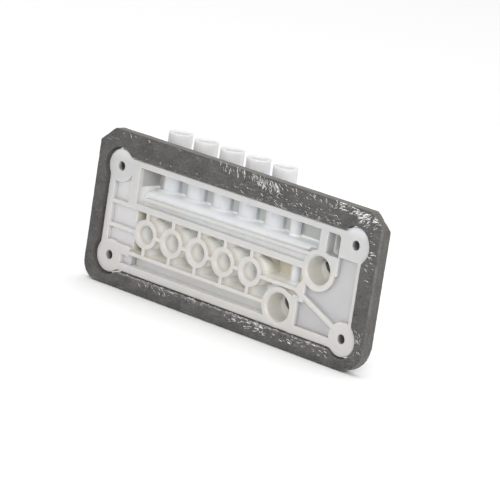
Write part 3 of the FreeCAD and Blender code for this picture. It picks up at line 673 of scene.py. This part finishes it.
@dataclass(frozen=True)
class TornFibre:
    """Pale torn foam fluff that catches the light along the gasket's cut edges."""

    name: str = "torn_foam_fluff"
    pale: Colour = (0.85, 0.85, 0.84)
    grey: Colour = (0.36, 0.355, 0.345)
    cloud: Cloud = Cloud(700.0, 2.0, 0.5, 0.4, 0.6)
    roughness: float = 0.7

    def material(self) -> bpy.types.Material:
        """Builds the fluff's material."""
        pattern = Pattern(self.name)
        colour = pattern.colour(pattern.patches(self.cloud), self.grey, self.pale)
        shader = pattern.add("ShaderNodeBsdfPrincipled")
        pattern.join(colour, shader.inputs["Base Color"])
        shader.inputs["Roughness"].default_value = self.roughness
        return pattern.finish(shader)


@dataclass(frozen=True)
class PaleFloor:
    """A plain pale floor."""

    name: str = "pale_floor"
    light: Colour = (0.97, 0.97, 0.97)
    shade: Colour = (0.96, 0.96, 0.96)
    cloud: Cloud = Cloud(2.0, 1.0, 0.5)
    roughness: float = 0.9

    def material(self) -> bpy.types.Material:
        """Builds the floor's material."""
        pattern = Pattern(self.name)
        colour = pattern.colour(pattern.noise(self.cloud), self.light, self.shade)
        shader = pattern.add("ShaderNodeBsdfPrincipled")
        pattern.join(colour, shader.inputs["Base Color"])
        shader.inputs["Roughness"].default_value = self.roughness
        return pattern.finish(shader)


def new_object(name: str, data: bpy.types.ID) -> bpy.types.Object:
    """Makes an object and links it to the scene.

    Args:
        name: The object's name.
        data: Its mesh, lamp or camera.

    Returns:
        The object.
    """
    made = bpy.data.objects.new(name, data)
    bpy.context.scene.collection.objects.link(made)
    return made


def plain_mesh(piece: bpy.types.Object) -> bpy.types.Mesh:
    """Takes the mesh that an object's modifiers give, and removes them."""
    graph = bpy.context.evaluated_depsgraph_get()
    mesh = bpy.data.meshes.new_from_object(piece.evaluated_get(graph))
    piece.modifiers.clear()
    return mesh


def dress(piece: bpy.types.Object, material: bpy.types.Material) -> None:
    """Gives a piece one material."""
    piece.data.materials.clear()
    piece.data.materials.append(material)


@dataclass
class Body:
    """The moulded manifold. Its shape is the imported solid, and it gets its finish here."""

    finish: MouldedPlastic = field(default_factory=MouldedPlastic)

    def build(self, nodes: dict[str, bpy.types.Object]) -> bpy.types.Object:
        """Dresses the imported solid.

        Args:
            nodes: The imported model's objects by name.

        Returns:
            The dressed object.
        """
        piece = nodes[BODY_NODE]
        dress(piece, self.finish.material())
        return piece


@dataclass
class Gasket:
    """The foam gasket, with softened edges, a slightly wavy face and small nicks."""

    finish: CellFoam = field(default_factory=CellFoam)
    grain: float = 0.62 * MM
    soften_turns: int = 4
    inset: float = 0.18 * MM
    wave_height: float = 0.22 * MM
    wave_length: float = 21.0 * MM
    pit_depth: float = 0.16 * MM
    pit_length: float = 2.3 * MM
    left_gap: float = 0.9 * MM
    left_gap_from: float = -70.0 * MM
    left_gap_full: float = -80.0 * MM
    left_edge: float = -93.6 * MM
    ear_x: float = 84.15 * MM
    ear_z: float = 24.75 * MM
    ear_notch: float = 10.6 * MM
    weld_reach: float = 0.01 * MM
    soften_share: float = 0.5
    pit_shift: Place = (7.0, 3.0, 5.0)
    fine_share: float = 0.35
    face_limit: float = 0.7

    def merged_copy(self, node: bpy.types.Object) -> bpy.types.Object:
        """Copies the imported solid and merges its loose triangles.

        Args:
            node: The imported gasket.

        Returns:
            A closed copy.
        """
        piece = new_object("gasket_foam", node.data.copy())
        weld = piece.modifiers.new("weld", "WELD")
        weld.merge_threshold = self.weld_reach
        remesh = piece.modifiers.new("grain", "REMESH")
        remesh.mode = "VOXEL"
        remesh.voxel_size = self.grain
        soften = piece.modifiers.new("soften", "SMOOTH")
        soften.factor = self.soften_share
        soften.iterations = self.soften_turns
        piece.data = plain_mesh(piece)
        return piece

    def offset(self, point: Vector) -> float:
        """How far the foam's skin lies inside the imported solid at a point.

        Args:
            point: A point of the surface, in metres.

        Returns:
            The inward distance, in metres.
        """
        wave = noise.noise(point / self.wave_length)
        pit = noise.noise(point / self.pit_length + Vector(self.pit_shift))
        fine = noise.noise(point / (self.pit_length * self.fine_share))
        sink = self.inset + self.wave_height * (1.0 + wave) / 2.0
        return sink + self.pit_depth * (max(0.0, pit) + self.fine_share * fine)

    def left_opening(self, point: Vector, normal: Vector) -> float:
        """How much further the foam keeps from the plate at a point of its inner edge on the left.

        Args:
            point: A point of the surface, in metres.
            normal: The surface's direction there.

        Returns:
            The extra inward distance, in metres.
        """
        share = (self.left_gap_from - point.x) / (self.left_gap_from - self.left_gap_full)
        if share <= 0.0 or abs(normal.y) > self.face_limit:
            return 0.0
        from_ear = math.hypot(point.x + self.ear_x, abs(point.z) - self.ear_z)
        on_straight = point.x > self.left_edge and abs(point.z) < self.ear_z
        if from_ear < self.ear_notch or on_straight:
            return self.left_gap * min(1.0, share)
        return 0.0

    def build(self, node: bpy.types.Object) -> bpy.types.Object:
        """Makes the gasket's mesh and finish.

        Args:
            node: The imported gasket.

        Returns:
            The new gasket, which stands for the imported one.
        """
        piece = self.merged_copy(node)
        normals = [vertex.normal.copy() for vertex in piece.data.vertices]
        for vertex, normal in zip(piece.data.vertices, normals):
            vertex.co -= normal * (self.offset(vertex.co) + self.left_opening(vertex.co, normal))
        piece.data.polygons.foreach_set("use_smooth", [True] * len(piece.data.polygons))
        dress(piece, self.finish.material())
        return piece


class Scatter(NodeGraph):
    """A Geometry Nodes tree with named inputs for its sizes."""

    def __init__(self, name: str) -> None:
        """Starts a tree with a geometry input and output.

        Args:
            name: The tree's name.
        """
        super().__init__(bpy.data.node_groups.new(name, "GeometryNodeTree"))
        self.ids: dict[str, str] = {}
        for way in ("INPUT", "OUTPUT"):
            self.tree.interface.new_socket("Geometry", in_out=way, socket_type="NodeSocketGeometry")
        self.start = self.add("NodeGroupInput")
        self.end = self.add("NodeGroupOutput")

    def size(self, name: str, kind: str = "NodeSocketFloat") -> Socket:
        """Adds a named input.

        Args:
            name: The input's name.
            kind: The input's socket type.

        Returns:
            The socket that gives its value inside the tree.
        """
        item = self.tree.interface.new_socket(name, in_out="INPUT", socket_type=kind)
        self.ids[name] = item.identifier
        return self.start.outputs[name]

    def apply(self, carrier: bpy.types.Object, values: dict[str, float | int]) -> bpy.types.Mesh:
        """Runs the tree on a carrier and keeps the result as a plain mesh.

        Args:
            carrier: The object whose mesh the tree reads.
            values: The inputs' values by name.

        Returns:
            The mesh.
        """
        holder = new_object("scatter_carrier", carrier.data)
        modifier = holder.modifiers.new("scatter", "NODES")
        modifier.node_group = self.tree
        for label, value in values.items():
            modifier[self.ids[label]] = value
        mesh = plain_mesh(holder)
        bpy.data.objects.remove(holder)
        return mesh


@dataclass(frozen=True)
class Zone:
    """A patch of the gasket with torn strokes on it. Places are in millimetres, angles in degrees.

    A stroke is at most as long as longest says, lies within the spread of the turn from level, and bows
    sideways by a share of its length. Front and back limit the patch in depth.
    """

    left: float
    right: float
    low: float
    high: float
    per_square_cm: float
    longest: float = 1.6
    turn: float = 10.0
    spread: float = 35.0
    bow: float = 0.25
    front: float = -2.2
    back: float = -1.0


ZONES = (
    # Along the upper outer edge, and round the upper right corner.
    Zone(-88.0, -70.0, 41.8, 44.2, 24.0, 2.0, 50.0, 25.0),
    Zone(-70.0, -15.0, 42.0, 44.2, 8.0, 1.6, 50.0, 25.0),
    Zone(-15.0, 2.0, 41.0, 44.0, 28.0, 2.2, 62.0, 22.0),
    Zone(0.0, 21.0, 40.5, 44.0, 52.0, 2.6, 65.0, 20.0, 0.15),
    Zone(14.0, 31.0, 38.5, 43.0, 40.0, 2.6, 50.0, 40.0, 0.4),
    Zone(22.0, 30.0, 38.5, 43.0, 30.0, 3.6, 55.0, 30.0, 0.6),
    Zone(31.0, 72.0, 41.0, 44.0, 24.0, 2.0, 25.0),
    Zone(68.0, 92.0, 40.5, 44.2, 60.0, 3.0, -12.0, 18.0),
    Zone(84.0, 99.0, 36.5, 43.0, 60.0, 3.2, -28.0, 18.0),
    # Above the plate.
    Zone(-66.0, -2.0, 31.2, 35.0, 5.0, 1.3),
    Zone(-2.0, 74.0, 31.2, 37.0, 22.0, 1.8, 10.0, 25.0, 0.1),
    Zone(20.0, 70.0, 36.5, 41.0, 6.0, 1.6, 10.0, 25.0, 0.1),
    # Right of the plate, with two long scratches.
    Zone(93.5, 99.5, 14.0, 34.0, 14.0, 2.0, 0.0, 40.0),
    Zone(95.0, 98.0, 9.6, 10.8, 70.0, 5.5, 4.0, 8.0, 0.3),
    Zone(95.0, 98.0, 22.8, 24.0, 60.0, 4.5, -5.0, 8.0, 0.3),
    # Below the plate, and at the lower right.
    Zone(-62.0, -38.0, -35.5, -31.8, 26.0, 2.2, 35.0, 20.0, 0.15),
    Zone(-38.0, 8.0, -35.0, -31.8, 12.0, 1.6, 15.0),
    Zone(8.0, 40.0, -36.5, -31.8, 34.0, 3.2, -8.0, 18.0, 0.15),
    Zone(40.0, 78.0, -36.5, -31.8, 20.0, 2.2, -4.0, 20.0, 0.1),
    Zone(91.0, 99.0, -30.0, -17.0, 26.0, 1.8, 40.0, 15.0, 0.1),
    # On the inner edge below the plate.
    Zone(-78.0, 76.0, -32.6, -31.2, 36.0, 1.8, 0.0, 25.0, 0.2, -2.2, 0.4),
)


@dataclass
class Fluff:
    """Torn strokes and curls of foam, scattered zone by zone with Geometry Nodes over the gasket."""

    finish: TornFibre = field(default_factory=TornFibre)
    smallest_share: float = 0.35
    thickness: float = 0.075
    path_steps: int = 6
    ring_sides: int = 5
    seed: int = 11

    def inside(self, graph: Scatter) -> Socket:
        """Builds the test for whether a place lies in the zone.

        Args:
            graph: The tree under construction.

        Returns:
            The test's result.
        """
        place = graph.add("GeometryNodeInputPosition")
        split = graph.add("ShaderNodeSeparateXYZ")
        graph.join(place.outputs[0], split.inputs[0])
        result = None
        limits = ((Axis.X, "Left", "Right"), (Axis.Y, "Front", "Back"), (Axis.Z, "Low", "High"))
        for axis, least, most in limits:
            for name, test in ((least, "GREATER_THAN"), (most, "LESS_THAN")):
                compare = graph.add("FunctionNodeCompare", data_type="FLOAT", operation=test)
                graph.join(split.outputs[axis.value], compare.inputs[0])
                graph.join(graph.size(name), compare.inputs[1])
                if result is None:
                    result = compare.outputs[0]
                    continue
                both = graph.add("FunctionNodeBooleanMath", operation="AND")
                graph.join(result, both.inputs[0])
                graph.join(compare.outputs[0], both.inputs[1])
                result = both.outputs[0]
        return result

    def stroke(self, graph: Scatter) -> Socket:
        """Builds one bowed stroke, one unit long.

        Args:
            graph: The tree under construction.

        Returns:
            The stroke's mesh.
        """
        middle = graph.add("ShaderNodeCombineXYZ")
        graph.join(graph.size("Bow"), middle.inputs["Y"])
        path = graph.add("GeometryNodeCurveQuadraticBezier")
        path.inputs["Resolution"].default_value = self.path_steps
        path.inputs["Start"].default_value = (-0.5, 0.0, 0.0)
        graph.join(middle.outputs[0], path.inputs["Middle"])
        path.inputs["End"].default_value = (0.5, 0.0, 0.0)
        ring = graph.add("GeometryNodeCurvePrimitiveCircle")
        ring.inputs["Resolution"].default_value = self.ring_sides
        ring.inputs["Radius"].default_value = self.thickness
        tube = graph.add("GeometryNodeCurveToMesh")
        graph.join(path.outputs["Curve"], tube.inputs["Curve"])
        graph.join(ring.outputs["Curve"], tube.inputs["Profile Curve"])
        tube.inputs["Fill Caps"].default_value = True
        return tube.outputs["Mesh"]

    def tree(self, material: bpy.types.Material) -> Scatter:
        """Builds the scattering tree.

        Args:
            material: The fluff's material.

        Returns:
            The finished tree.
        """
        graph = Scatter("fluff_scatter")
        scatter = graph.add("GeometryNodeDistributePointsOnFaces")
        graph.join(graph.start.outputs["Geometry"], scatter.inputs["Mesh"])
        graph.join(self.inside(graph), scatter.inputs["Selection"])
        graph.join(graph.size("Density"), scatter.inputs["Density"])
        seed = graph.size("Seed", "NodeSocketInt")
        graph.join(seed, scatter.inputs["Seed"])
        size = graph.add("FunctionNodeRandomValue", data_type="FLOAT")
        graph.join(graph.size("Smallest"), size.inputs[2])
        graph.join(graph.size("Largest"), size.inputs[3])
        graph.join(seed, size.inputs["Seed"])
        turn = graph.add("FunctionNodeRandomValue", data_type="FLOAT")
        graph.join(graph.size("Least turn"), turn.inputs[2])
        graph.join(graph.size("Most turn"), turn.inputs[3])
        graph.join(seed, turn.inputs["Seed"])
        upright = graph.add("ShaderNodeCombineXYZ")
        upright.inputs["X"].default_value = math.radians(90.0)
        graph.join(turn.outputs[1], upright.inputs["Y"])
        copies = graph.add("GeometryNodeInstanceOnPoints")
        graph.join(scatter.outputs["Points"], copies.inputs["Points"])
        graph.join(self.stroke(graph), copies.inputs["Instance"])
        graph.join(upright.outputs[0], copies.inputs["Rotation"])
        graph.join(size.outputs[1], copies.inputs["Scale"])
        real = graph.add("GeometryNodeRealizeInstances")
        graph.join(copies.outputs[0], real.inputs[0])
        paint = graph.add("GeometryNodeSetMaterial")
        paint.inputs["Material"].default_value = material
        graph.join(real.outputs[0], paint.inputs["Geometry"])
        graph.join(paint.outputs[0], graph.end.inputs["Geometry"])
        return graph

    def values(self, index: int, zone: Zone) -> dict[str, float | int]:
        """The tree's inputs for one zone.

        Args:
            index: The zone's number, which sets its seed.
            zone: The zone.

        Returns:
            The inputs' values by name.
        """
        return {
            "Left": zone.left * MM,
            "Right": zone.right * MM,
            "Front": zone.front * MM,
            "Back": zone.back * MM,
            "Low": zone.low * MM,
            "High": zone.high * MM,
            "Density": zone.per_square_cm * SQUARE_CM_IN_A_SQUARE_M,
            "Seed": self.seed + index,
            "Smallest": zone.longest * self.smallest_share * MM,
            "Largest": zone.longest * MM,
            "Bow": zone.bow,
            "Least turn": math.radians(zone.turn - zone.spread),
            "Most turn": math.radians(zone.turn + zone.spread),
        }

    def build(self, foam: bpy.types.Object) -> bpy.types.Object:
        """Scatters the fluff over the foam.

        Args:
            foam: The gasket.

        Returns:
            The fluff as one mesh.
        """
        material = self.finish.material()
        graph = self.tree(material)
        gathered = bmesh.new()
        for index, zone in enumerate(ZONES):
            patch = graph.apply(foam, self.values(index, zone))
            gathered.from_mesh(patch)
            bpy.data.meshes.remove(patch)
        mesh = bpy.data.meshes.new("gasket_fluff")
        gathered.to_mesh(mesh)
        gathered.free()
        piece = new_object("gasket_fluff", mesh)
        dress(piece, material)
        return piece


@dataclass(frozen=True)
class Lamp:
    """A square soft light that faces the part's origin. Lengths are in metres, the power in watts."""

    name: str
    place: Place
    side: float
    watts: float

    def build(self) -> None:
        """Hangs the light."""
        data = bpy.data.lights.new(self.name, "AREA")
        data.shape = "SQUARE"
        data.size = self.side
        data.energy = self.watts
        lamp = new_object(self.name, data)
        lamp.location = self.place
        lamp.rotation_euler = (-Vector(self.place)).to_track_quat("-Z", "Y").to_euler()


LAMPS = (
    Lamp("top", (0.0, 0.3, 3.0), 3.4, 54.0),
    Lamp("fill", (0.80, -0.93, 0.50), 0.5, 8.0),
)


@dataclass
class Studio:
    """Floor, lights and the camera at the photograph's angle."""

    azimuth: float = 40.602
    elevation: float = 12.600
    roll: float = 8.766
    distance: float = 1768.19 * MM
    target: Place = (14.82 * MM, 0.0, 4.08 * MM)
    lens: float = 244.29
    sensor: float = 36.0
    nearest: float = 0.1
    furthest: float = 50.0
    floor_half: float = 6.0
    world_light: float = 0.62
    floor_finish: PaleFloor = field(default_factory=PaleFloor)

    def camera(self) -> bpy.types.Object:
        """Makes the camera: it looks at the target, turned about its own axis by the roll."""
        across, up = math.radians(self.azimuth), math.radians(self.elevation)
        reach = math.cos(up)
        back = Vector((math.sin(across) * reach, -math.cos(across) * reach, math.sin(up)))
        data = bpy.data.cameras.new("photo_view")
        data.lens = self.lens
        data.sensor_width = self.sensor
        data.clip_start = self.nearest
        data.clip_end = self.furthest
        camera = new_object("photo_view", data)
        level = (-back).to_track_quat("-Z", "Y").to_matrix()
        turned = level @ Matrix.Rotation(math.radians(self.roll), 3, "Z")
        place = Vector(self.target) + back * self.distance
        camera.matrix_world = Matrix.Translation(place) @ turned.to_4x4()
        bpy.context.scene.camera = camera
        return camera

    def floor(self, level: float) -> bpy.types.Object:
        """Makes the floor at a level.

        Args:
            level: The floor's height, in metres.

        Returns:
            The floor.
        """
        half = self.floor_half
        corners = [(-half, -half), (half, -half), (half, half), (-half, half)]
        mesh = bpy.data.meshes.new("floor")
        mesh.from_pydata([(x, y, level) for x, y in corners], [], [(0, 1, 2, 3)])
        floor = new_object("floor", mesh)
        dress(floor, self.floor_finish.material())
        return floor

    def world(self) -> None:
        """Lights the scene evenly from all round."""
        world = bpy.data.worlds.new("studio")
        world.use_nodes = True
        background = world.node_tree.nodes["Background"]
        background.inputs["Color"].default_value = (1.0, 1.0, 1.0, 1.0)
        background.inputs["Strength"].default_value = self.world_light
        bpy.context.scene.world = world

    def build(self, floor_level: float) -> bpy.types.Object:
        """Sets up the whole studio.

        Args:
            floor_level: The floor's height, in metres.

        Returns:
            The floor.
        """
        self.camera()
        self.world()
        bpy.context.scene.view_settings.view_transform = "Standard"
        for lamp in LAMPS:
            lamp.build()
        return self.floor(floor_level)


def place_piece(piece: bpy.types.Object, slot: str, *stands_for: str) -> None:
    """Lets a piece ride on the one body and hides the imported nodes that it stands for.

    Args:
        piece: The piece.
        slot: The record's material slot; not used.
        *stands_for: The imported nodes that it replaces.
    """
    if stands_for:
        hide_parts(*stands_for)
    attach(piece, ROOT)
    log.info("%s: %d faces", piece.name, len(piece.data.polygons))


def main(frame: dict) -> None:
    """Builds the pieces in order, then the studio.
    """
    logging.basicConfig(level=logging.INFO, format="%(name)s: %(message)s")
    packed_low, packed_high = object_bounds()
    nodes = frame["nodes"]
    body = Body().build(nodes)
    log.info("%s: %d faces", body.name, len(body.data.polygons))
    foam = Gasket().build(nodes[GASKET_NODE])
    fluff = Fluff().build(foam)
    place_piece(foam, "foam", GASKET_NODE)
    place_piece(fluff, "foam")
    Studio().build(packed_low.z)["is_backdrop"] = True


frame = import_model()

if __name__ == "__main__":
    main(frame)
